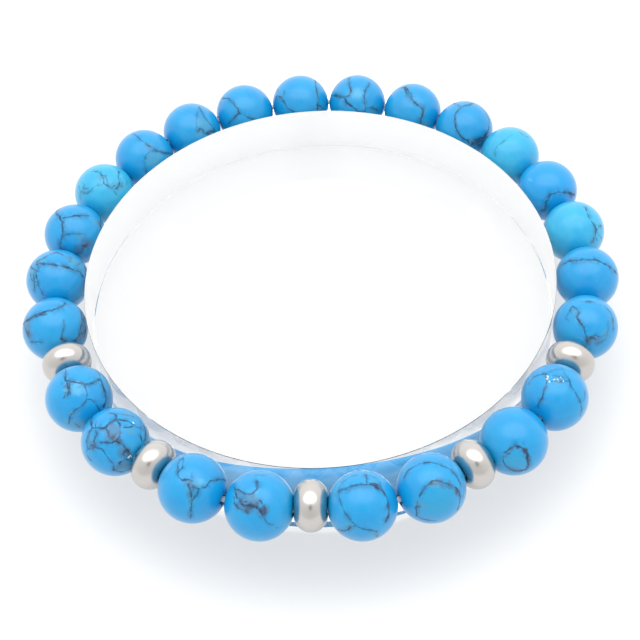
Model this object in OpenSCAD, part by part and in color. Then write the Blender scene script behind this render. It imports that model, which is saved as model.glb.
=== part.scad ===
/* [Beads] */
// Diameter of a round stone bead
bead_d = 8; // [7:0.1:10]
// Diameter of the hole drilled through a bead
bead_bore = 1.2; // [1.2:0.1:1.6]
// Width of the broken edge round each mouth of that hole
bore_flare = 0.2; // [0.1:0.05:0.3]
// Number of beads in the long plain run at the back
back_beads = 16; // [12:1:20]
// Number of beads between one metal spacer and the next at the front
pair_beads = 2; // [1:1:3]

/* [Spacers] */
// Number of metal spacers along the front
spacer_count = 5; // [3:2:7]
// Diameter of a spacer across its belly
spacer_d = 6; // [5:0.1:6.5]
// Length of a spacer along the elastic
spacer_l = 3.8; // [3.4:0.1:4.2]
// Diameter of the flat face at each end of a spacer
spacer_face_d = 2.8; // [2.6:0.1:3.4]
// Diameter of the hole through a spacer
spacer_bore = 2.2; // [2.1:0.1:2.4]

/* [Elastic] */
// Diameter of the clear stretch cord
elastic_d = 0.7; // [0.5:0.1:0.8]

/* [Clearances] */
// Gap between one bead and the next
string_gap = 0.1; // [0.1:0.05:0.3]
// Gap between a bead and the mouth of a spacer's hole, which it sinks into
seat_gap = 0.05; // [0.05:0.05:0.2]
// Gap between the beads and the rim of the disc
disc_gap = 0.1; // [0.1:0.05:0.3]

/* [Display disc] */
// Thickness of the clear disc that holds the bracelet open
disc_h = 13; // [11:0.5:20]
// Height of the bead centres above the surface that the disc stands on
string_z = 10.8; // [6:0.1:12]
// Width of the polished bevel round both edges of the disc
disc_bevel = 0.3; // [0.1:0.1:1]

/* [Hidden] */
$fn = 96;

// The middle spacer faces -Y, and the string is numbered from it clockwise as seen from above,
// so the first front run is on the left, then the long back run, then the right.
front_angle = -90;
side_spacers = (spacer_count - 1) / 2;

// B stands for a bead and S for a spacer, in the order in which they are threaded.
one_side = [for (i = [1:side_spacers]) each concat([for (k = [1:pair_beads]) "B"], ["S"])];
far_side = [for (i = [len(one_side) - 1:-1:0]) one_side[i]];
string = concat(["S"], one_side, [for (k = [1:back_beads]) "B"], far_side);
count = len(string);

// Distance from the middle of a spacer to the middle of the bead that rests in its mouth
seat_reach = spacer_l / 2 + sqrt(pow(bead_d / 2 + seat_gap, 2) - pow(spacer_bore / 2, 2));

// Angle at the centre between a piece and the next one, for bead centres on the given radius.
// A spacer sits halfway along the straight line between the centres of its two beads.
function step(i, radius) =
    string[i] == string[(i + 1) % count]
        ? 2 * asin((bead_d + string_gap) / (2 * radius))
        : asin(seat_reach / radius);

function total_angle(radius, i = 0) =
    i == count ? 0 : step(i, radius) + total_angle(radius, i + 1);

// The ring closes where the steps add up to a full turn, found by halving the interval.
function closing_radius(low, high, rounds = 40) =
    rounds == 0 ? (low + high) / 2 :
    total_angle((low + high) / 2) > 360
        ? closing_radius((low + high) / 2, high, rounds - 1)
        : closing_radius(low, (low + high) / 2, rounds - 1);

ring_r = closing_radius(2 * bead_d, 3 * count * bead_d / PI);
spacer_ring_r = sqrt(ring_r * ring_r - seat_reach * seat_reach);

function place(i) = i == 0 ? front_angle : place(i - 1) - step(i - 1, ring_r);

angles = [for (i = [0:count - 1]) place(i)];
bead_places = [for (i = [0:count - 1]) if (string[i] == "B") angles[i]];
spacer_places = [for (i = [0:count - 1]) if (string[i] == "S") angles[i]];

// The elastic bends and the bores are straight, so it runs half a bead's rise outside the
// bead centres and stays as far from the wall at the mouths as in the middle.
bead_rise = ring_r - sqrt(ring_r * ring_r - bead_d * bead_d / 4);
elastic_r = ring_r + bead_rise / 2;

disc_r = ring_r - bead_d / 2 - disc_gap;

// The belly of a spacer is one arc through the edges of its two faces.
belly_rise = (spacer_d - spacer_face_d) / 2;
belly_r = (spacer_l * spacer_l / 4 + belly_rise * belly_rise) / (2 * belly_rise);
belly_centre = spacer_d / 2 - belly_r;

function two_digits(n) = str(n < 10 ? "0" : "", n);
bead_names = [for (i = [1:len(bead_places)]) str("bead_", two_digits(i))];
spacer_names = [for (i = [1:len(spacer_places)]) str("spacer_", i)];

// Puts a piece that is modelled round the Z axis on the ring, with its hole along the ring.
module on_string(angle, radius) {
    translate([radius * cos(angle), radius * sin(angle), string_z])
        rotate([0, 0, angle])
            rotate([90, 0, 0])
                children();
}

// Broken edge at one mouth of a hole, as a cone that widens outwards
module flare(bore, mouth_z) {
    translate([0, 0, mouth_z - bore_flare])
        cylinder(d1 = bore, d2 = bore + 4 * bore_flare, h = 2 * bore_flare);
}

module bead(angle) {
    mouth_z = sqrt(bead_d * bead_d - bead_bore * bead_bore) / 2;
    color("deepskyblue")
        on_string(angle, ring_r)
            difference() {
                sphere(d = bead_d);
                cylinder(d = bead_bore, h = 2 * bead_d, center = true);
                flare(bead_bore, mouth_z);
                mirror([0, 0, 1]) flare(bead_bore, mouth_z);
            }
}

module spacer(angle) {
    color("silver")
        on_string(angle, spacer_ring_r)
            rotate_extrude()
                difference() {
                    intersection() {
                        union() {
                            translate([belly_centre, 0]) circle(r = belly_r);
                            translate([0, -spacer_l / 2]) square([belly_centre, spacer_l]);
                        }
                        translate([0, -spacer_l / 2]) square([spacer_d, spacer_l]);
                    }
                    translate([0, -spacer_l]) square([spacer_bore / 2, 2 * spacer_l]);
                }
}

// The stretch cord, one closed ring through every bead and spacer
module elastic_cord() {
    color("ghostwhite")
        translate([0, 0, string_z])
            rotate_extrude()
                translate([elastic_r, 0]) circle(d = elastic_d);
}

module display_disc() {
    color("aliceblue", 0.4)
        rotate_extrude()
            polygon([
                [0, 0],
                [disc_r - disc_bevel, 0],
                [disc_r, disc_bevel],
                [disc_r, disc_h - disc_bevel],
                [disc_r - disc_bevel, disc_h],
                [0, disc_h],
            ]);
}

for (i = [0:len(bead_places) - 1])
    bead(bead_places[i]);
for (i = [0:len(spacer_places) - 1])
    spacer(spacer_places[i]);
elastic_cord();
display_disc();
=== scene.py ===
from math import asin, atan2, pi, radians, sqrt

import bmesh
import bpy
from mathutils import Matrix, Vector


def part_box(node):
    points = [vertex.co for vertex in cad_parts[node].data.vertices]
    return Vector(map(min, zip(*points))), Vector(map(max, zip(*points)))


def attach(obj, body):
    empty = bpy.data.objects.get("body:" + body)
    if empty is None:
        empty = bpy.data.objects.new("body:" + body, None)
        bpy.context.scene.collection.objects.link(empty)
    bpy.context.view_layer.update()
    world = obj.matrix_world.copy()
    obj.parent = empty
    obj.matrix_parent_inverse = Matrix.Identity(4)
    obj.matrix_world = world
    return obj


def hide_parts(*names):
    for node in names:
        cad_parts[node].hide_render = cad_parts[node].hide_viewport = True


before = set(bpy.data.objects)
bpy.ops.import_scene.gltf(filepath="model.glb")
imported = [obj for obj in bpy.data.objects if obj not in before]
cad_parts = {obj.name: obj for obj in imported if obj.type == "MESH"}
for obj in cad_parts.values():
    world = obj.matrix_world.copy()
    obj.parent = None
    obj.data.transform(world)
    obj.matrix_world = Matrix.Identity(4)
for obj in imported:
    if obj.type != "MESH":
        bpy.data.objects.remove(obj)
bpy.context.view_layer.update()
millimetre = 0.001
weld = 1e-7  # metres, points nearer than this become one


# Camera

view = {
    "location": (0.01037, -0.1160, 0.1450),
    "heading": 2.44,  # degrees to the left of +Y
    "pitch": 50.73,  # degrees below level
    "roll": -2.13,
    "lens": 78.23,  # mm
    "sensor": 36,  # mm
    "shift": -0.0703,  # of the width, since the photo is cut a little off centre
    "nearest": 0.01,  # metres, what is nearer isn't seen
    "bounces": 24,  # light goes round many times inside the clear disc
}


def viewTurn():
    turned = Matrix.Rotation(radians(view["heading"]), 4, "Z")
    turned @= Matrix.Rotation(radians(90 - view["pitch"]), 4, "X")
    return turned @ Matrix.Rotation(radians(view["roll"]), 4, "Z")


def addCamera():
    data = bpy.data.cameras.new("camera")
    data.lens = view["lens"]
    data.sensor_width = view["sensor"]
    data.shift_x = view["shift"]
    data.clip_start = view["nearest"]
    placed = bpy.data.objects.new("camera", data)
    bpy.context.scene.collection.objects.link(placed)
    placed.matrix_world = Matrix.Translation(view["location"]) @ viewTurn()
    bpy.context.scene.camera = placed
    bpy.context.scene.view_settings.view_transform = "Standard"
    cycles = bpy.context.scene.cycles
    cycles.max_bounces = view["bounces"]
    cycles.glossy_bounces = view["bounces"]
    cycles.transmission_bounces = view["bounces"]


addCamera()
print("camera placed")


# Shader wiring

class Wire:
    # an output socket that works in plain expressions
    def __init__(self, sheet, socket):
        self.sheet = sheet
        self.socket = socket

    def maths(self, operation, *others):
        return self.sheet.maths(operation, self, *others)

    def __add__(self, other):
        return self.maths("ADD", other)

    def __sub__(self, other):
        return self.maths("SUBTRACT", other)

    def __rsub__(self, other):
        return self.sheet.maths("SUBTRACT", other, self)

    def __mul__(self, other):
        return self.maths("MULTIPLY", other)

    def __truediv__(self, other):
        return self.maths("DIVIDE", other)

    __radd__ = __add__
    __rmul__ = __mul__


class Sheet:
    # the node tree of one finish, or of the sky
    def __init__(self, name, library=None):
        self.owner = (bpy.data.materials if library is None else library).new(name)
        self.owner.use_nodes = True
        self.tree = self.owner.node_tree
        self.tree.nodes.clear()

    def node(self, kind, settings=None, inputs=None, output=0):
        made = self.tree.nodes.new(kind)
        for key, value in (settings or {}).items():
            setattr(made, key, value)
        for key, value in (inputs or {}).items():
            if isinstance(value, Wire):
                self.tree.links.new(value.socket, made.inputs[key])
            else:
                made.inputs[key].default_value = value
        return Wire(self, made.outputs[output]) if made.outputs else made

    def maths(self, operation, *values):
        return self.node("ShaderNodeMath", {"operation": operation}, dict(enumerate(values)))

    def vector(self, operation, *values):
        output = "Value" if operation in ("DOT_PRODUCT", "LENGTH", "DISTANCE") else "Vector"
        return self.node("ShaderNodeVectorMath", {"operation": operation}, dict(enumerate(values)), output)

    def scaled(self, value, share):
        return self.node("ShaderNodeVectorMath", {"operation": "SCALE"}, {0: value, "Scale": share})

    def colour(self, share, first, second):
        # the Mix node's colour sockets share their names with others, so they go by number
        return self.node("ShaderNodeMix", {"data_type": "RGBA"}, {0: share, 6: first, 7: second}, 2)

    def fade(self, value, low, high):
        # 1 at low or less, 0 at high or more
        inputs = {"Value": value, "From Min": low, "From Max": high, "To Min": 1.0, "To Max": 0.0}
        return self.node("ShaderNodeMapRange", {"interpolation_type": "SMOOTHSTEP", "clamp": False}, inputs)

    def rise(self, value, low, high):
        # 0 at low or less, 1 at high or more
        return self.fade(value, high, low)

    def noise(self, place, scale, detail, roughness, output="Fac"):
        inputs = {"Vector": place, "Scale": scale, "Detail": detail, "Roughness": roughness}
        return self.node("ShaderNodeTexNoise", {}, inputs, output)

    def place(self, centre=(0, 0, 0), size=1.0):
        # object coordinates measured from a centre, in the given size
        coordinates = self.node("ShaderNodeTexCoord", output="Object")
        moved = Vector(centre) / -size
        return self.node("ShaderNodeMapping", {}, {
            "Vector": coordinates, "Location": moved, "Scale": (1 / size,) * 3})

    def finish(self, **inputs):
        named = {key.replace("_", " "): value for key, value in inputs.items()}
        shader = self.node("ShaderNodeBsdfPrincipled", {}, named)
        self.node("ShaderNodeOutputMaterial", {}, {"Surface": shader})
        return self.owner


def opaque(colour):
    return (*colour, 1)


# Modelling helpers

def finishedPiece(name, bm, finish, sharpAngle=40):
    bmesh.ops.remove_doubles(bm, verts=bm.verts, dist=weld)
    bmesh.ops.recalc_face_normals(bm, faces=bm.faces)
    mesh = bpy.data.meshes.new(name)
    bm.to_mesh(mesh)
    bm.free()
    mesh.shade_smooth()
    mesh.set_sharp_from_angle(angle=radians(sharpAngle))
    mesh.materials.append(finish)
    made = bpy.data.objects.new(name, mesh)
    bpy.context.scene.collection.objects.link(made)
    return made


def spunRound(bm, steps):
    geometry = bm.verts[:] + bm.edges[:]
    bmesh.ops.spin(
        bm, geom=geometry, cent=(0, 0, 0), axis=(0, 0, 1), angle=2 * pi, steps=steps, use_merge=True)


def profile(bm, points):
    corners = [bm.verts.new((x, 0, z)) for x, z in points]
    for first, second in zip(corners, corners[1:]):
        bm.edges.new((first, second))
    return corners


def arc(bm, start, centre, angle, steps):
    # swings a vertex of the profile about a centre in its plane, and returns the far end
    swung = bmesh.ops.spin(
        bm, geom=[start], cent=(centre[0], 0, centre[1]), axis=(0, 1, 0), angle=angle, steps=steps)
    return [piece for piece in swung["geom_last"] if isinstance(piece, bmesh.types.BMVert)][0]


def ontoString(bm, centre):
    # turns a piece made round Z so that its hole follows the ring, then puts it in its place
    turned = Matrix.Rotation(atan2(centre.y, centre.x), 4, "Z") @ Matrix.Rotation(pi / 2, 4, "X")
    bmesh.ops.transform(bm, matrix=Matrix.Translation(centre) @ turned, verts=bm.verts)


def middle(node):
    low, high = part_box(node)
    return (low + high) / 2


def nodesNamed(start):
    return sorted(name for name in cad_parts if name.startswith(start))


# Beads

bead = {
    "radius": 4.0 * millimetre,
    "bore": 0.6 * millimetre,  # radius of the drilled hole
    "flare": 0.2 * millimetre,  # how much wider its mouths are broken
    "flareDepth": 0.1 * millimetre,
    "rings": 48,
    "sides": 80,
}

stone = {
    "deep": (0.003, 0.242, 0.59),
    "clear": (0.003, 0.308, 0.70),
    "main": (0.004, 0.318, 0.660),
    "pale": (0.03, 0.43, 0.69),
    "vein": (0.006, 0.052, 0.140),
    "rust": (0.024, 0.044, 0.090),
    "stain": (0.006, 0.13, 0.28),
    "brown": (0.036, 0.034, 0.060),
    "teal": (0.016, 0.325, 0.56),
    "grey": (0.060, 0.30, 0.46),
    "dusk": (0.055, 0.16, 0.29),
    # a paler stone tone, which at the upper middle of beads 01, 02, 04 and 13 paints a highlight
    "paleAndHighlight": (0.10, 0.46, 0.72),
    # white dots that paint glints of light on beads 03 and 21
    "paintedGlint": (0.95, 0.97, 1),
    "mottleShare": 0.35,
    "speckShare": 0.25,
    "paintedGlintShare": 0.8,
    "roughness": 0.30,
    "roughnessSpread": 0.1,
    "veinRoughness": 0.12,  # how much rougher a vein is
    "polish": 0.75,
    "ior": 1.5,
    "specular": 0.2,
    "rockStep": (3.7, 1.9, 5.3),  # how far apart in the rock the beads are cut, in bead radii
    "wander": (4.6, 2.0, 0.55),  # noise that bends the veins: scale, detail, roughness
    "pressure": (3.6, 3.0, 0.6),  # a vein thickens and thins out along its way
    "dullness": (9.0, 2.0, 0.5),
}

# Patches in the stone: scale, detail and roughness of their noise, and the values between which they set in
stonePatches = {
    "stain": (4.2, 2.0, 0.55, 0.40, 0.62),
    "darkVein": (4.4, 2.0, 0.5, 0.38, 0.66),
    "farVein": (1.3, 2.0, 0.5, 0.42, 0.62),
    "mottle": (2.1, 4.0, 0.62, 0.36, 0.64),
    "speck": (22.0, 2.0, 0.5, 0.62, 0.70),
    "rust": (2.9, 2.0, 0.5, 0.32, 0.46),
}

# How wide a vein is, in bead radii, and how dark
veinKinds = {
    "strong": (0.046, 1.0),
    "fine": (0.030, 0.95),
    "faint": (0.026, 0.55),
}

# How a vein is drawn, in widths of it where nothing else is said
vein = {
    "bend": 0.11,  # how far it strays from its line, in bead radii
    "swell": 3.8,  # how much it thickens with the pressure
    "thinning": 0.9,
    "thinnest": 0.4,
    "edge": (0.1, 1.35),  # over which it fades out, in its width at that place
    "stainEdge": (0.5, 5.0),
    "stainDepth": 0.6,  # against the vein's own darkness
    "weakest": 0.6,  # its depth where the stone has paled it
}

# The net on the side away from the chart, in bead radii
farNet = {
    "scale": 1.35,
    "swell": 0.11,
    "thinning": 0.025,
    "thinnest": 0.008,
    "turn": (-0.12, 0.1),  # over which it gives way to the chart
    "edge": (0.2, 1.5),
    "depth": 0.85,
    "stainEdge": (0.5, 4.5),
    "stainDepth": 0.5,
}

# How deep each kind of mark colours the stone; the pale marks at the upper middle of beads 01, 02, 04 and 13
# are a painted highlight, the one on bead 17 a pale patch
markDepths = {"paleAndHighlight": 0.5, "teal": 0.6, "grey": 0.6, "dusk": 0.72, "brown": 0.8}

mark = {
    "bend": 0.35,  # how ragged it is, in bead radii
    "edge": (0.35, 1.15),  # over which it fades out, in its own radius
}

# Veins and marks of each bead as it faces the front, in bead radii to the right and up from its middle
beadChart = {
    "bead_01": {
        "strong": [[(-.19, .34), (-.09, .45), (-.07, .67)],
                   [(-.56, .15), (-.43, 0), (-.24, .01), (-.09, -.02), (.01, -.13), (.06, -.24)]],
        "fine": [[(-.69, .47), (-.52, .41), (-.39, .30), (-.19, .34)],
                 [(-.71, .56), (-.67, .34), (-.60, .22), (-.47, .11), (-.37, .11)],
                 [(-.71, .22), (-.69, .06), (-.58, -.06), (-.43, -.13), (-.34, -.19)],
                 [(.01, .13), (.13, -.02), (.15, -.17), (.06, -.26)]],
        "faint": [[(.06, -.26), (.15, -.39), (.28, -.50), (.50, -.60)], [(-.1, .85), (.1, .83)]],
        "dusk": [(-.45, .08, .30), (-.20, .12, .26), (.10, -.18, .26), (-.62, .38, .16), (-.30, -.10, .22)],
        # painted highlight
        "paleAndHighlight": [(-.17, .24, .2)],
        "brown": [(-.39, -.13, .15), (-.24, 0, .13), (-.08, .02, .09), (.06, -.11, .17), (.14, -.28, .12)],
    },
    "bead_02": {
        "fine": [[(-.32, .86), (-.41, .73), (-.43, .56), (-.42, .34)],
                 [(-.32, .86), (-.26, .71), (-.30, .58), (-.41, .47)],
                 [(-.42, .32), (-.30, .24), (-.15, .24), (0, .19)],
                 [(0, .04), (.17, -.02), (.32, .02), (.41, .11), (.50, .22), (.69, .24), (.84, .26),
                  (.93, .22)],
                 [(-.15, .11), (-.09, -.02), (-.04, -.17), (-.02, -.37), (-.06, -.54), (-.06, -.82)],
                 [(.17, -.02), (.13, -.17), (.04, -.28), (-.01, -.37)]],
        "faint": [[(-.03, .43), (-.03, .28)]],
        "grey": [(-.1, .06, .18), (-.04, -.12, .17), (-.05, -.34, .15), (.08, .10, .14)],
        "dusk": [(-.05, -.14, .13), (.03, -.02, .12), (-.08, .10, .10), (-.04, -.36, .09)],
        # painted highlight
        "paleAndHighlight": [(.22, .15, .2)],
    },
    "bead_03": {
        "strong": [[(-.67, .39), (-.47, .40), (-.26, .40), (-.22, .47), (-.09, .58), (.02, .65)],
                   [(-.69, .69), (-.67, .41), (-.78, .19), (-.82, 0)],
                   [(.82, .43), (.86, .17), (.80, -.04), (.71, -.30), (.60, -.50), (.54, -.65),
                    (.39, -.80)]],
        "fine": [[(-.82, 0), (-.78, -.19), (-.80, -.37), (-.71, -.52)],
                 [(.02, .65), (.17, .62), (.37, .60), (.47, .50), (.60, .41), (.78, .32)],
                 [(.02, .65), (.11, .47), (.13, .34), (.26, .40), (.47, .43)],
                 [(-.26, .40), (-.24, .30), (-.20, .15)],
                 [(-.41, -.02), (-.26, -.02), (-.11, -.04), (.02, .02), (.17, -.06), (.32, -.22),
                  (.41, -.37), (.45, -.52)],
                 [(-.75, -.22), (-.56, -.15), (-.37, -.22), (-.26, -.37), (-.15, -.52), (-.04, -.65),
                  (-.02, -.82)],
                 [(.47, .73), (.65, .65), (.82, .43)],
                 [(-.55, .55), (-.60, .40), (-.52, .20), (-.62, .02), (-.58, -.15)],
                 [(.13, .34), (.10, .15), (.02, .02)],
                 [(.26, -.52), (.22, -.35), (.32, -.22)],
                 [(.72, .45), (.70, .20), (.74, -.02), (.62, -.28)],
                 [(.04, -.82), (.13, -.60), (.26, -.52), (.50, -.52)],
                 [(.04, -.84), (.26, -.86), (.43, -.78)],
                 [(-.15, .82), (-.04, .80), (.02, .65)]],
        "faint": [[(-.11, .93), (.04, .80), (.20, .78), (.47, .75)]],
        "dusk": [(-.06, .39, .22), (-.11, .15, .28), (.05, -.02, .2), (.26, -.30, .26), (.22, -.69, .25),
                 (-.62, -.10, .2)],
        "grey": [(-.75, .10, .2), (.45, .30, .15), (.38, .78, .2)],
        "brown": [(-.10, .10, .12), (.10, .02, .09), (.28, -.28, .12), (-.68, -.14, .08), (-.22, .24, .07),
                  (.40, -.42, .08)],
        # painted glints
        "paintedGlint": [(.50, .56, .06), (.41, -.43, .05)],
    },
    "bead_04": {
        "strong": [[(-.41, .52), (-.26, .50), (0, .45), (.17, .41), (.37, .47), (.54, .54), (.60, .62)],
                   [(.60, .62), (.67, .41), (.75, .17), (.78, -.04), (.73, -.22)]],
        "fine": [[(-.41, .86), (-.39, .65), (-.41, .52)],
                 [(.50, .91), (.60, .62)],
                 [(.17, .41), (.19, .26), (.22, .11), (.22, -.01), (.13, -.15), (.02, -.26), (-.11, -.32),
                  (-.19, -.43), (-.26, -.60), (-.30, -.73)],
                 [(.22, -.01), (.34, -.02), (.45, -.13), (.54, -.26), (.60, -.37)],
                 [(-.41, .52), (-.32, .39), (-.30, .22), (-.34, .09)],
                 [(-.28, .47), (-.28, .11)]],
        "faint": [[(-.11, -.73), (.02, -.84)]],
        # painted highlight
        "paleAndHighlight": [(-.06, .28, .25)],
        "grey": [(-.36, .30, .14), (-.15, -.42, .16), (-.30, -.72, .14), (-.05, -.75, .25),
                 (.25, -.72, .25)],
        "brown": [(-.47, .06, .07), (-.40, .20, .05), (-.38, .38, .06), (-.17, -.42, .06)],
    },
    "bead_05": {
        "strong": [[(-.97, .17), (-.80, .30), (-.63, .41), (-.43, .50), (-.26, .56), (-.09, .58), (.06, .65),
                    (.22, .71), (.30, .82)],
                   [(.82, .65), (.91, .34), (.93, .09), (.88, -.22)]],
        "fine": [[(-.60, .36), (-.43, .44), (-.24, .49)],
                 [(-.93, .19), (-.88, -.06), (-.75, -.26)],
                 [(-.75, -.37), (-.60, -.37), (-.41, -.39)],
                 [(.17, -.26), (.32, -.39), (.60, -.37), (.71, -.17)],
                 [(.69, .73), (.78, .47), (.80, .22), (.75, 0), (.71, -.22)]],
        "faint": [[(.24, .30), (.24, .09), (.22, -.13), (.17, -.26)]],
        "dusk": [(.84, .32, .2), (.82, .10, .24), (.78, -.20, .24), (-.50, .44, .16), (-.84, .05, .2),
                 (-.77, -.14, .2), (.28, -.34, .16)],
        "brown": [(-.82, -.13, .13), (-.74, -.30, .07), (.17, -.24, .09), (.30, -.39, .09), (.60, -.37, .1),
                  (.86, .30, .09), (.84, -.10, .09), (-.42, .48, .06)],
    },
    "bead_06": {
        "strong": [[(-.60, .56), (-.41, .52), (-.17, .50), (.09, .47), (.26, .43), (.47, .34), (.69, .26),
                    (.78, .13)]],
        "fine": [[(-.67, .52), (-.60, .43), (-.67, .26), (-.65, .04), (-.58, -.17), (-.50, -.39),
                  (-.43, -.50)],
                 [(-.67, .58), (-.47, .69), (-.26, .82), (-.04, .91), (.09, .84), (.30, .73)],
                 [(-.86, .47), (-.73, .34), (-.75, .13), (-.73, -.13), (-.75, -.34)],
                 [(-.86, .20), (-.80, .02), (-.66, -.06)],
                 [(-.74, .34), (-.62, .30)],
                 [(.80, .65), (.84, .34), (.82, 0), (.82, -.34)]],
        "faint": [[(.30, .86), (.39, .73), (.37, .60)], [(-.73, -.13), (-.58, -.17)],
                  [(.47, .34), (.60, .50), (.80, .60)], [(-.45, -.55), (-.10, -.58), (.25, -.52)]],
        "grey": [(.47, .65, .3), (.70, .45, .22), (-.74, .20, .22), (-.78, -.12, .22), (-.60, .62, .2),
                 (.72, -.40, .18)],
    },
    "bead_07": {
        "strong": [[(-.52, .86), (-.60, .71), (-.50, .58), (-.43, .43), (-.41, .26), (-.39, .04),
                    (-.45, -.17), (-.50, -.39), (-.43, -.50)],
                   [(-.37, .54), (-.13, .60), (.17, .61), (.45, .61)]],
        "fine": [[(.75, .69), (.82, .47), (.80, .30), (.84, .13)]],
        "faint": [[(-.34, -.02), (-.09, .04), (.26, .02)],
                  [(-.43, -.50), (-.22, -.54), (-.02, -.63), (.09, -.60), (.26, -.54)]],
        "grey": [(.10, -.05, .2), (.72, .35, .2)],
        "dusk": [(.34, -.30, .26), (.10, -.50, .24), (-.40, -.45, .16), (.80, .35, .16)],
        "brown": [(.30, -.37, .15), (.20, -.50, .08), (-.52, .84, .08), (-.40, .40, .06), (-.44, -.10, .06),
                  (.76, .28, .07)],
    },
    "bead_08": {
        "tone": "pale",
        "fine": [[(-.34, .75), (-.19, .69), (-.09, .60)],
                 [(-.06, .52), (-.04, .34), (.09, .26), (.22, .19), (.30, .26)],
                 [(.47, .73), (.43, .52), (.50, .39), (.45, .26), (.34, .15)]],
        "faint": [[(-.04, .32), (-.24, .28), (-.30, .24)],
                  [(.43, .52), (.58, .41), (.54, .24)],
                  [(.22, .19), (.32, .06), (.37, -.04)],
                  [(-.86, .26), (-.80, .09), (-.82, -.13)],
                  [(-.71, .15), (-.52, .15)],
                  [(-.80, .09), (-.60, -.02), (-.45, .10), (-.30, .24)],
                  [(-.78, .45), (-.66, .30), (-.71, .15)],
                  [(.09, .26), (.02, .60), (-.09, .60)],
                  [(.60, .55), (.72, .40), (.66, .22), (.54, .24)]],
        "grey": [(.45, .25, .25), (-.68, .10, .22), (-.10, .55, .18)],
    },
    "bead_09": {
        "fine": [[(-.41, .86), (-.22, .73), (-.04, .58), (.13, .45), (.34, .32), (.52, .24), (.73, .19),
                  (.95, .17)],
                 [(.52, .24), (.30, .28), (.15, .24), (.04, .13), (.01, -.04), (.02, -.26), (.04, -.52)]],
        "grey": [(.30, -.04, .32), (.45, .10, .22), (.20, .45, .16)],
    },
    "bead_10": {
        "fine": [[(.24, .86), (.32, .73), (.43, .54), (.54, .37), (.69, .19), (.80, .06)],
                 [(.22, .09), (.32, .11), (.45, -.06), (.60, .02), (.78, .02)]],
        "faint": [[(.24, .86), (.17, .56), (.15, .26), (.17, 0)]],
        "grey": [(.39, .30, .3), (.30, .02, .22), (.60, .05, .2)],
        "brown": [(.56, -.04, .13), (.76, .05, .08), (.24, .04, .07)],
    },
    "bead_11": {
        "fine": [[(-.78, .52), (-.56, .52), (-.39, .34), (-.26, .17), (-.19, .02)],
                 [(-.19, .02), (0, -.06), (.22, -.19), (.39, -.24)],
                 [(-.19, .02), (-.34, -.13), (-.47, -.26), (-.60, -.39)]],
        "faint": [[(-.78, .56), (-.86, .34), (-.91, .09)]],
    },
    "bead_12": {
        "fine": [[(-.88, .26), (-.69, .24), (-.58, .06), (-.45, -.13), (-.26, -.30)],
                 [(.50, .82), (.54, .60), (.58, .39), (.60, .17), (.60, -.04), (.58, -.26)],
                 [(.60, -.04), (.78, -.13), (.73, -.28)]],
        "faint": [[(-.56, .47), (-.62, .26)], [(-.82, .55), (-.80, .35), (-.86, .10)]],
        "grey": [(.66, -.2, .25), (.56, .35, .14), (-.70, .20, .2)],
        "brown": [(.60, -.08, .07), (-.84, .24, .05)],
    },
    "bead_13": {
        "strong": [[(-.91, .28), (-.69, .26), (-.47, .19), (-.37, .02), (-.19, -.11), (0, -.26),
                    (.22, -.37)]],
        "fine": [[(-.28, .88), (-.30, .69), (-.24, .52), (-.22, .39), (-.28, .26), (-.47, .22)],
                 [(.45, .78), (.39, .60), (.26, .41), (.25, .17), (.28, -.04), (.28, -.22), (.22, -.37)],
                 [(.28, -.17), (.52, -.13), (.73, -.26)]],
        # painted highlight
        "paleAndHighlight": [(.02, .32, .22)],
        "grey": [(-.24, .36, .14), (.60, -.25, .25), (.25, .02, .14)],
        "brown": [(-.86, .26, .07), (.20, -.36, .07)],
    },
    "bead_14": {
        "strong": [[(-.28, .86), (-.22, .69), (-.11, .56), (.02, .41), (.17, .24), (.32, .15), (.37, 0),
                    (.30, -.22), (.28, -.43)]],
        "fine": [[(-.47, .82), (-.28, .86)], [(-.22, .84), (-.12, .68), (-.02, .52)]],
        "grey": [(-.20, .76, .14), (.34, .02, .14), (.45, -.45, .2)],
    },
    "bead_15": {
        "fine": [[(.39, .91), (.13, .84), (-.11, .78), (-.28, .58), (-.32, .34), (-.30, .13), (-.19, -.13),
                  (-.04, -.30), (.13, -.39)],
                 [(-.39, .91), (-.11, .78)],
                 [(.39, .91), (.69, .65), (.86, .34), (.84, 0), (.65, -.26), (.39, -.34)]],
        "grey": [(-.22, .70, .14)],
        "dusk": [(.35, -.45, .26), (.70, -.20, .2), (.56, -.40, .22)],
        "brown": [(.47, -.43, .14), (.73, -.22, .11), (.28, -.48, .1), (.60, -.34, .1), (.12, -.38, .08)],
    },
    "bead_16": {
        "tone": "pale",
        "faint": [[(-.50, .02), (-.50, .22), (-.39, .37), (-.19, .52), (0, .67), (.06, .73)],
                  [(.30, .84), (.47, .69), (.65, .62)]],
    },
    "bead_17": {
        "tone": "clear",
        "strong": [[(-.04, -.60), (-.02, -.39), (.11, -.17), (.34, -.05), (.60, -.06), (.91, -.13)]],
        "brown": [(.78, -.17, .12), (-.09, -.69, .12)],
        "paleAndHighlight": [(-.56, .36, .1)],
    },
    "bead_18": {
        "tone": "pale",
        "fine": [[(.37, .80), (.43, .60), (.56, .34), (.67, .19), (.73, .04), (.67, -.17), (.60, -.34)],
                 [(.73, .04), (.82, .15), (.91, .19)]],
        "faint": [[(.73, .04), (.82, -.13), (.91, -.22)], [(.67, -.17), (.78, -.30)]],
        "grey": [(.70, .02, .16), (.64, -.25, .16)],
    },
    "bead_19": {
        "strong": [[(-.78, .41), (-.56, .52), (-.30, .55), (0, .58), (.30, .56), (.52, .45), (.73, .34),
                    (.91, .17)]],
    },
    "bead_20": {
        "fine": [[(-.26, .32), (-.15, .13), (-.04, 0), (0, -.17), (.06, -.37), (.02, -.52)],
                 [(.05, .78), (.24, .78)],
                 [(-.47, .47), (-.41, .65), (-.26, .56), (-.19, .43), (-.26, .32)],
                 [(.50, .69), (.68, .54), (.79, .38), (.83, .17), (.84, -.04)]],
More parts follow.
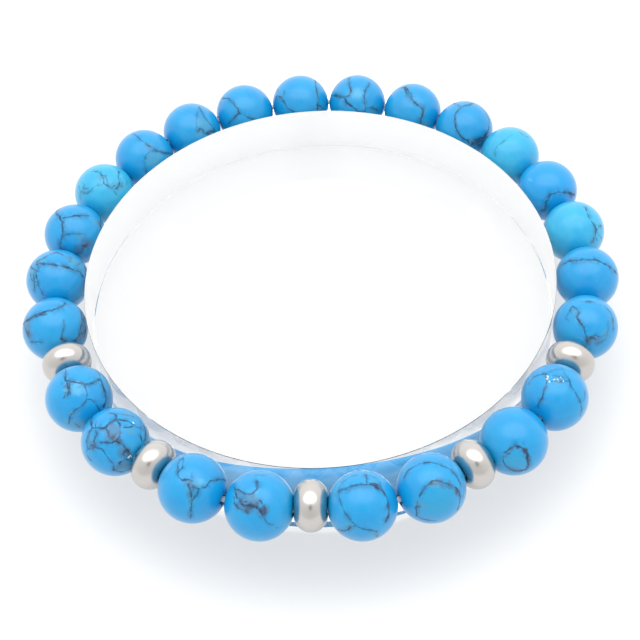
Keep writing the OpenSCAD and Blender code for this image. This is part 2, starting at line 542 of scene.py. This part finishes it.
        "faint": [[(.69, .13), (.67, -.13), (.60, -.37), (.34, -.50)],
                  [(-.47, .47), (-.60, .30), (-.50, .20)],
                  [(.06, -.37), (.30, -.22), (.50, -.28), (.66, -.20)],
                  [(-.20, .80), (.05, .78)]],
        "grey": [(.62, -.20, .2), (.82, .20, .18), (-.34, .45, .16)],
        "dusk": [(.10, -.40, .2), (.35, -.40, .2)],
        "brown": [(.22, -.34, .11), (.06, -.42, .09), (.40, -.24, .05)],
    },
    "bead_21": {
        "fine": [[(-.75, .39), (-.60, .60), (-.43, .67), (-.26, .69)],
                 [(-.24, .69), (-.22, .47), (-.26, .30), (-.32, .09), (-.43, -.13), (-.50, -.30)],
                 [(-.19, .47), (.13, .47), (.39, .47)],
                 [(.39, .56), (.47, .34), (.60, .13), (.73, -.11), (.78, -.30), (.73, -.56)]],
        "faint": [[(.22, .86), (.30, .71), (.39, .56)], [(-.26, .69), (-.02, .80), (.22, .82)],
                  [(-.05, .62), (.10, .60), (.30, .58)], [(.75, -.20), (.84, -.05), (.88, .15)]],
        "grey": [(.10, .52, .16), (-.26, .56, .12), (-.40, -.10, .1)],
        # painted glints
        "paintedGlint": [(-.15, .62, .075), (-.20, .54, .05), (-.13, .46, .045), (.02, .52, .04), (.13, .55, .05),
                    (.22, .50, .035), (.30, .56, .035)],
    },
    "bead_22": {
        "strong": [[(.02, -.13), (.17, -.15), (.30, -.26), (.39, -.37), (.37, -.52), (.41, -.69),
                    (.32, -.82), (.13, -.86), (-.09, -.82)]],
        "fine": [[(-.09, -.82), (-.24, -.69), (-.32, -.52), (-.30, -.34), (-.17, -.24), (.02, -.13)]],
        "teal": [(.06, -.54, .34)],
        "dusk": [(-.26, -.40, .12), (-.10, -.22, .10), (.08, -.14, .11), (.30, -.27, .12), (.40, -.48, .11),
                 (.38, -.70, .11), (.12, -.86, .11), (-.14, -.79, .11)],
        "brown": [(.10, -.18, .09), (.34, -.32, .1), (.40, -.62, .09), (.20, -.84, .09), (-.20, -.30, .08)],
    },
    "bead_23": {
        "fine": [[(-.78, .26), (-.65, .47), (-.43, .62), (-.13, .71), (.17, .67), (.47, .54), (.69, .34),
                  (.82, .09)],
                 [(-.41, -.78), (-.41, -.52), (-.32, -.22), (-.15, .04), (.04, .19), (.26, .19), (.47, .11),
                  (.73, -.02), (.80, -.26), (.73, -.60)],
                 [(-.41, -.78), (-.17, -.88), (.13, -.91)]],
        "faint": [[(.86, .35), (.92, .05), (.88, -.25)]],
        "teal": [(.22, -.39, .62)],
        "grey": [(.10, .08, .16), (-.28, -.45, .16)],
        "dusk": [(-.04, .08, .10), (.10, .12, .13), (.30, .11, .15), (.50, .03, .16), (.70, -.10, .15)],
        "brown": [(.02, .12, .07), (.72, -.10, .09), (-.34, -.50, .06)],
    },
    "bead_24": {
        "strong": [[(-.67, .41), (-.47, .45), (-.26, .54), (-.04, .58), (.13, .59), (.34, .54), (.52, .43)],
                   [(.71, 0), (.71, -.26), (.65, -.43)]],
        "fine": [[(.09, .86), (.11, .65), (.26, .60), (.43, .58), (.54, .47)],
                 [(-.67, .41), (-.62, .17), (-.52, -.13), (-.37, -.34), (-.19, -.52), (0, -.63), (.22, -.67),
                  (.39, -.69), (.39, -.86)],
                 [(-.69, -.65), (-.43, -.67), (-.30, -.58), (-.19, -.52)],
                 [(.54, .45), (.65, .26), (.71, 0)]],
        "faint": [[(-.67, .43), (-.56, .65), (-.34, .80), (-.13, .86)],
                  [(.09, .86), (.28, .80), (.48, .66), (.54, .45)]],
        "grey": [(.28, .62, .16), (-.35, -.60, .2), (.35, -.75, .14)],
        "brown": [(.38, .54, .1), (.22, .58, .08), (.52, .44, .08), (.71, -.32, .06), (-.32, -.60, .06)],
    },
}


def chartAxes(centre):
    # right, up and outwards on the side of a bead that faces the front
    outwards = (Vector(view["location"]) - centre).normalized()
    right = viewTurn().to_3x3() @ Vector((1, 0, 0))
    right = (right - right.dot(outwards) * outwards).normalized()
    return right, outwards.cross(right), outwards


def lifted(axes, x, y):
    # a chart point brought onto the unit ball
    right, up, outwards = axes
    return (right * x + up * y + outwards * sqrt(max(0.0, 1 - x * x - y * y))).normalized()


def liftedLine(axes, chart):
    longestStep = 0.36  # in bead radii, so that the line keeps to the ball
    line = [lifted(axes, *chart[0])]
    for x, y in chart[1:]:
        corner = lifted(axes, x, y)
        if (corner - line[-1]).length > longestStep:
            line.append(((corner + line[-1]) / 2).normalized())
        line.append(corner)
    return line


def higher(first, second):
    # the higher of two masks, one of which may be missing
    if first is None or second is None:
        return first or second
    return first.maths("MAXIMUM", second)


def strayed(sheet, place, wander, reach):
    # places pushed about by the noise, so that what is drawn there isn't smooth
    push = sheet.vector("SUBTRACT", wander, (0.5, 0.5, 0.5))
    return sheet.vector("MULTIPLY_ADD", push, (reach,) * 3, place)


def patches(sheet, grain, kind):
    scale, detail, roughness, low, high = stonePatches[kind]
    return sheet.rise(sheet.noise(grain, scale, detail, roughness), low, high)


def gapToLine(sheet, place, line, nearest=None):
    # the gap to the line, or to whatever was nearer before
    for start, end in zip(line, line[1:]):
        run = end - start
        offset = sheet.vector("SUBTRACT", place, start)
        share = sheet.vector("DOT_PRODUCT", offset, run / run.length_squared)
        share = share.maths("MAXIMUM", 0.0).maths("MINIMUM", 1.0)
        gap = sheet.vector("DISTANCE", offset, sheet.scaled(run, share))
        nearest = gap if nearest is None else nearest.maths("MINIMUM", gap)
    return nearest


def chartedVeins(sheet, chart, axes, bent, pressure):
    # masks of the veins on the chart and of the stain beside them
    veins = stains = None
    stainFrom, stainTo = vein["stainEdge"]
    for kind, (width, darkness) in veinKinds.items():
        if kind not in chart:
            continue
        gap = None
        for line in chart[kind]:
            gap = gapToLine(sheet, bent, liftedLine(axes, line), gap)
        breadth = pressure * (vein["swell"] * width) - vein["thinning"] * width
        breadth = breadth.maths("MAXIMUM", vein["thinnest"] * width)
        veins = higher(veins, sheet.fade(gap / breadth, *vein["edge"]) * darkness)
        stain = sheet.fade(gap, stainFrom * width, stainTo * width) * (vein["stainDepth"] * darkness)
        stains = higher(stains, stain)
    return veins, stains


def addFarNet(sheet, place, grain, bent, pressure, outwards, veins, stains):
    # the masks with the net of the far side in them as well
    feature = {"feature": "DISTANCE_TO_EDGE"}
    inputs = {"Vector": bent, "Scale": farNet["scale"]}
    cracks = sheet.node("ShaderNodeTexVoronoi", feature, inputs, "Distance")
    away = sheet.fade(sheet.vector("DOT_PRODUCT", place, outwards), *farNet["turn"])
    patchy = patches(sheet, grain, "farVein")
    breadth = (pressure * farNet["swell"] - farNet["thinning"]).maths("MAXIMUM", farNet["thinnest"])
    share = cracks / breadth
    away = away * patchy
    far = sheet.fade(share, *farNet["edge"]) * away * farNet["depth"]
    veins = higher(far, veins)
    far = sheet.fade(share, *farNet["stainEdge"]) * away * farNet["stainDepth"]
    stains = higher(far, stains)
    return veins, stains


def marks(sheet, kind, chart, axes, place, wander):
    # mask of the chart's marks of one kind
    ragged = strayed(sheet, place, wander, mark["bend"])
    softFrom, softTo = mark["edge"]
    total = None
    for x, y, radius in chart[kind]:
        gap = sheet.vector("DISTANCE", ragged, lifted(axes, x, y))
        total = higher(total, sheet.fade(gap, softFrom * radius, softTo * radius))
    return total


def stoneFinish(name, centre, number):
    sheet = Sheet(name + "_stone")
    chart = beadChart[name]
    axes = chartAxes(centre)
    place = sheet.place(centre, bead["radius"])
    grain = sheet.vector("ADD", place, tuple(number * step for step in stone["rockStep"]))
    wander = sheet.noise(grain, *stone["wander"], "Color")
    bent = strayed(sheet, place, wander, vein["bend"])
    pressure = sheet.noise(grain, *stone["pressure"])
    stained = patches(sheet, grain, "stain")
    strength = patches(sheet, grain, "darkVein") * (1 - vein["weakest"]) + vein["weakest"]
    veins, stains = chartedVeins(sheet, chart, axes, bent, pressure)
    veins, stains = addFarNet(sheet, place, grain, bent, pressure, axes[2], veins, stains)

    tone = chart.get("tone", "main")
    otherTone = "deep" if tone == "main" else "main"
    mottle = patches(sheet, grain, "mottle")
    ground = sheet.colour(mottle * stone["mottleShare"], opaque(stone[tone]), opaque(stone[otherTone]))
    specks = patches(sheet, grain, "speck")
    ground = sheet.colour(specks * stone["speckShare"], ground, opaque(stone["pale"]))
    # the pale marks at the upper middle of beads 01, 02, 04 and 13 are a painted highlight
    for kind, depth in markDepths.items():
        if kind in chart:
            mask = marks(sheet, kind, chart, axes, place, wander)
            ground = sheet.colour(mask * depth, ground, opaque(stone[kind]))
    ground = sheet.colour(stains * stained, ground, opaque(stone["stain"]))
    rusty = patches(sheet, grain, "rust")
    ink = sheet.colour(rusty, opaque(stone["vein"]), opaque(stone["rust"]))
    inked = veins * strength
    ground = sheet.colour(inked, ground, ink)
    # painted glints: white dots in the base colour
    if "paintedGlint" in chart:
        mask = marks(sheet, "paintedGlint", chart, axes, place, wander)
        ground = sheet.colour(mask * stone["paintedGlintShare"], ground, opaque(stone["paintedGlint"]))

    dull = sheet.noise(grain, *stone["dullness"]) * stone["roughnessSpread"]
    dull = dull + (stone["roughness"] - stone["roughnessSpread"] / 2) + veins * stone["veinRoughness"]
    polish = (1 - inked) * stone["polish"]  # a vein is too soft to take the polish
    return sheet.finish(
        Base_Color=ground, Roughness=dull, IOR=stone["ior"], Specular_IOR_Level=stone["specular"],
        Coat_Weight=polish, Coat_Roughness=stone["roughness"], Coat_IOR=stone["ior"])


def spunBead(centre):
    bm = bmesh.new()
    mouth = bead["bore"] + bead["flare"]
    height = sqrt(bead["radius"] ** 2 - mouth ** 2)
    inner = height - bead["flareDepth"]
    rim = profile(bm, [(bead["bore"], 0), (bead["bore"], inner), (mouth, height)])[-1]
    swing = pi / 2 - asin(mouth / bead["radius"])
    arc(bm, rim, (0, 0), swing, bead["rings"] // 2)
    # the other half of the outline
    bmesh.ops.mirror(bm, geom=bm.verts[:] + bm.edges[:], axis="Z", merge_dist=weld)
    spunRound(bm, bead["sides"])
    ontoString(bm, centre)
    return bm


for number, name in enumerate(nodesNamed("bead_"), 1):
    centre = middle(name)
    made = finishedPiece(name + "_stone", spunBead(centre), stoneFinish(name, centre, number))
    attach(made, "root")
    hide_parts(name)
print("beads made")


# Spacers

spacer = {
    "radius": 3.0 * millimetre,
    "length": 3.8 * millimetre,
    "face": 1.4 * millimetre,  # radius of the flat face at each end
    "bore": 1.1 * millimetre,
    "easing": 0.08 * millimetre,  # rounding of its edges
    "easingSteps": 3,
    "edgeAngle": 25,  # degrees, where a sharper turn counts as an edge
    "rings": 32,
    "sides": 96,
    "steel": (0.60, 0.575, 0.55),
    "shade": (0.52, 0.495, 0.47),
    "shadeShare": 0.4,
    "cloud": (1.6, 2.0, 0.5),  # noise of the shade: scale, detail, roughness
    "latheWay": (2.0, 40.0, 2.0),  # the lathe's marks are finest along the hole
    "latheMarks": (1.0, 3.0, 0.6),  # their noise
    "latheDepth": 0.02 * millimetre,
    "latheStrength": 0.03,
    "roughness": 0.255,
    "roughnessSpread": 0.03,
}


def spunSpacer(centre):
    bm = bmesh.new()
    half = spacer["length"] / 2
    rise = spacer["radius"] - spacer["face"]
    bellyRadius = (half ** 2 + rise ** 2) / (2 * rise)
    bellyMiddle = spacer["radius"] - bellyRadius
    corners = profile(bm, [(spacer["bore"], -half), (spacer["bore"], half), (spacer["face"], half)])
    swing = 4 * atan2(rise, half)
    end = arc(bm, corners[2], (bellyMiddle, 0), swing, spacer["rings"])
    bm.edges.new((end, corners[0]))
    spunRound(bm, spacer["sides"])
    bmesh.ops.remove_doubles(bm, verts=bm.verts, dist=weld)
    bmesh.ops.recalc_face_normals(bm, faces=bm.faces)
    edges = [edge for edge in bm.edges if edge.calc_face_angle(0) > radians(spacer["edgeAngle"])]
    bmesh.ops.bevel(
        bm, geom=edges, offset=spacer["easing"], affect="EDGES", segments=spacer["easingSteps"],
        profile=0.5, material=-1)
    ontoString(bm, centre)
    return bm


def steelFinish(name, centre):
    sheet = Sheet(name)
    place = sheet.place(centre, spacer["radius"])
    turn = (0, 0, -atan2(centre.y, centre.x))
    turned = sheet.node("ShaderNodeMapping", {}, {"Vector": place, "Rotation": turn})
    lathe = sheet.noise(sheet.vector("MULTIPLY", turned, spacer["latheWay"]), *spacer["latheMarks"])
    cloud = sheet.noise(place, *spacer["cloud"])
    tint = sheet.colour(cloud * spacer["shadeShare"], opaque(spacer["steel"]), opaque(spacer["shade"]))
    spread = spacer["roughnessSpread"]
    rough = lathe * spread + (spacer["roughness"] - spread / 2)
    height = sheet.node("ShaderNodeBump", {}, {
        "Height": lathe, "Strength": spacer["latheStrength"], "Distance": spacer["latheDepth"]})
    return sheet.finish(Base_Color=tint, Metallic=1.0, Roughness=rough, Normal=height)


for name in nodesNamed("spacer_"):
    centre = middle(name)
    made = finishedPiece(name + "_steel", spunSpacer(centre), steelFinish(name + "_satin", centre))
    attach(made, "root")
    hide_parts(name)
print("spacers made")


# Elastic

elastic = {
    "radius": 0.35 * millimetre,
    "sides": 16,
    "steps": 256,
    "tint": (0.93, 0.95, 0.96),
    "cloud": (1.5, 2.0, 0.5),  # noise: scale per millimetre, detail, roughness
    "roughness": 0.25,
    "roughnessSpread": 0.2,
    "clearness": 0.35,
    "ior": 1.45,
}


def elasticFinish():
    sheet = Sheet("clear_elastic")
    cloud = sheet.noise(sheet.place(size=millimetre), *elastic["cloud"])
    rough = cloud * elastic["roughnessSpread"] + elastic["roughness"]
    return sheet.finish(
        Base_Color=opaque(elastic["tint"]), Roughness=rough, Transmission_Weight=elastic["clearness"],
        IOR=elastic["ior"])


def spunElastic():
    low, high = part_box("elastic_cord")
    bm = bmesh.new()
    bmesh.ops.create_circle(bm, segments=elastic["sides"], radius=elastic["radius"])
    bmesh.ops.rotate(bm, verts=bm.verts, cent=(0, 0, 0), matrix=Matrix.Rotation(pi / 2, 3, "X"))
    bmesh.ops.translate(bm, verts=bm.verts, vec=(high.x - elastic["radius"], 0, 0))
    spunRound(bm, elastic["steps"])
    bmesh.ops.translate(bm, verts=bm.verts, vec=(0, 0, (low.z + high.z) / 2))
    return bm


cord = finishedPiece("elastic_ring", spunElastic(), elasticFinish())
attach(cord, "root")
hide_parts("elastic_cord")
print("elastic made")


# Display disc

disc = {
    "bevel": 0.11 * millimetre,  # of the top edge
    "bevelSteps": 2,
    "footBevel": 0.05 * millimetre,
    "footBevelSteps": 1,
    "sides": 720,
    "tint": (1.0, 1.0, 1.0),
    "cloud": (0.985, 0.99, 0.99),  # tint of its faint clouds
    "cloudNoise": (0.1, 2.0, 0.5),  # scale per millimetre, detail, roughness
    "ior": 1.522,
}


def acrylicFinish():
    sheet = Sheet("clear_acrylic")
    haze = sheet.noise(sheet.place(size=millimetre), *disc["cloudNoise"])
    tint = sheet.colour(haze, opaque(disc["tint"]), opaque(disc["cloud"]))
    return sheet.finish(Base_Color=tint, Roughness=0.0, Transmission_Weight=1.0, IOR=disc["ior"])


def turnedDisc():
    low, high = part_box("display_disc")
    thickness = high.z - low.z
    bm = bmesh.new()
    bmesh.ops.create_cone(
        bm, cap_ends=True, segments=disc["sides"], radius1=high.x, radius2=high.x, depth=thickness)
    topAndFoot = (
        (1, disc["bevel"], disc["bevelSteps"]),
        (-1, disc["footBevel"], disc["footBevelSteps"]))
    for side, offset, steps in topAndFoot:
        edges = [edge for edge in bm.edges if all(vert.co.z * side > 0 for vert in edge.verts)]
        bmesh.ops.bevel(
            bm, geom=edges, offset=offset, affect="EDGES", segments=steps, profile=0.5, material=-1)
    bmesh.ops.translate(bm, verts=bm.verts, vec=(0, 0, (low.z + high.z) / 2))
    return bm


clearDisc = finishedPiece("display_disc_clear", turnedDisc(), acrylicFinish(), sharpAngle=10)
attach(clearDisc, "root")
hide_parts("display_disc")
print("disc made")


# Floor and light

studio = {
    "floorSize": 4.0,
    "floorDrop": 0.05 * millimetre,  # the disc stands on it with a breath of air between
    "floorWhite": 0.28,
    "floorRoughness": 0.9,
    "floorGlow": (0.560, 0.570, 0.582),  # the floor is lit from below as well, which keeps its shadows pale
    "outerGlow": 0.15,  # painted light: added to that outside the ring, so the floor beside the ring stays darker as a painted shadow
    # its middle sits a little to the front, so that painted shadow reaches further in front of the ring
    "outerMiddle": (0.0, -0.0018, 0.0),
    "outerEdge": (0.0335, 0.0435),  # metres from its middle, over which it sets in
    "middleGlow": 0.18,  # painted light: a pool of glow added under the disc
    "middleTint": (1.0, 0.975, 0.94),
    "middleEdge": (0.026, 0.040),  # over which it fades out
    "middleRim": (0.0301, 0.0307),  # and where it ends, just past the disc, so that its bright edge shows in the disc's front wall as a painted white streak
    "backGlow": 1.9,  # painted light: a pool of glow added behind the back row, which lights the back beads from below
    "backMiddle": (0.001, 0.036, 0.0),
    "backEdge": (0.008, 0.018),
    "backRim": (0.0348, 0.0362),  # it begins there, under the beads
    "sky": 1.10,
    "skyTilt": 0.22,  # how much brighter it is behind the ring than in front
    "lensShade": 0.75,  # how much darker the sky is where the camera stands
    "lensEdge": (0.968, 0.995),  # cosine of the angle from there, over which it darkens
    "boxSize": (0.80, 0.44),
    "boxPlace": (0.0, 0.0, 0.45),
    "boxPower": 1.28,
}


def addFloor():
    bm = bmesh.new()
    bmesh.ops.create_grid(bm, x_segments=2, y_segments=2, size=studio["floorSize"] / 2)
    bmesh.ops.translate(bm, verts=bm.verts, vec=(0, 0, -studio["floorDrop"]))
    sheet = Sheet("white_floor")
    place = sheet.place()
    reach = sheet.vector("LENGTH", place)
    # painted light: a pool of glow under the disc
    inner = sheet.fade(reach, *studio["middleEdge"]) * sheet.fade(reach, *studio["middleRim"])
    inner = inner * studio["middleGlow"]
    # painted light: more glow away from the ring, leaving a painted shadow beside it
    outer = sheet.vector("DISTANCE", place, studio["outerMiddle"])
    outer = sheet.rise(outer, *studio["outerEdge"]) * studio["outerGlow"]
    # painted light: a pool of glow behind the back row
    back = sheet.vector("DISTANCE", place, studio["backMiddle"])
    back = sheet.fade(back, *studio["backEdge"])
    back = back * sheet.rise(reach, *studio["backRim"]) * studio["backGlow"]
    glow = sheet.vector("ADD", sheet.scaled(studio["middleTint"], inner), studio["floorGlow"])
    glow = sheet.vector("ADD", sheet.scaled((1, 1, 1), outer + back), glow)
    finish = sheet.finish(
        Base_Color=opaque((studio["floorWhite"],) * 3), Roughness=studio["floorRoughness"],
        Specular_IOR_Level=0.0, Emission_Color=glow, Emission_Strength=1.0)
    finishedPiece("floor", bm, finish)


def addLight(name, place, size, power):
    data = bpy.data.lights.new(name, "AREA")
    data.shape = "ELLIPSE"
    data.size, data.size_y = size
    data.energy = power
    lamp = bpy.data.objects.new(name, data)
    lamp.location = place
    lamp.rotation_euler = (-Vector(place)).to_track_quat("-Z", "Y").to_euler()
    bpy.context.scene.collection.objects.link(lamp)


def addSky():
    sheet = Sheet("studio", bpy.data.worlds)
    towards = Vector(view["location"]).normalized()
    direction = sheet.node("ShaderNodeTexCoord", output="Generated")
    along = sheet.vector("DOT_PRODUCT", direction, towards)
    shade = sheet.rise(along, *studio["lensEdge"]) * studio["lensShade"]
    behind = sheet.vector("DOT_PRODUCT", direction, (0, studio["skyTilt"], 0)) + 1
    strength = (1 - shade) * behind * studio["sky"]
    sky = sheet.node("ShaderNodeBackground", {}, {"Color": (1, 1, 1, 1), "Strength": strength})
    sheet.node("ShaderNodeOutputWorld", {}, {"Surface": sky})
    bpy.context.scene.world = sheet.owner


addFloor()
addLight("softbox", studio["boxPlace"], studio["boxSize"], studio["boxPower"])
addSky()
print("studio made")
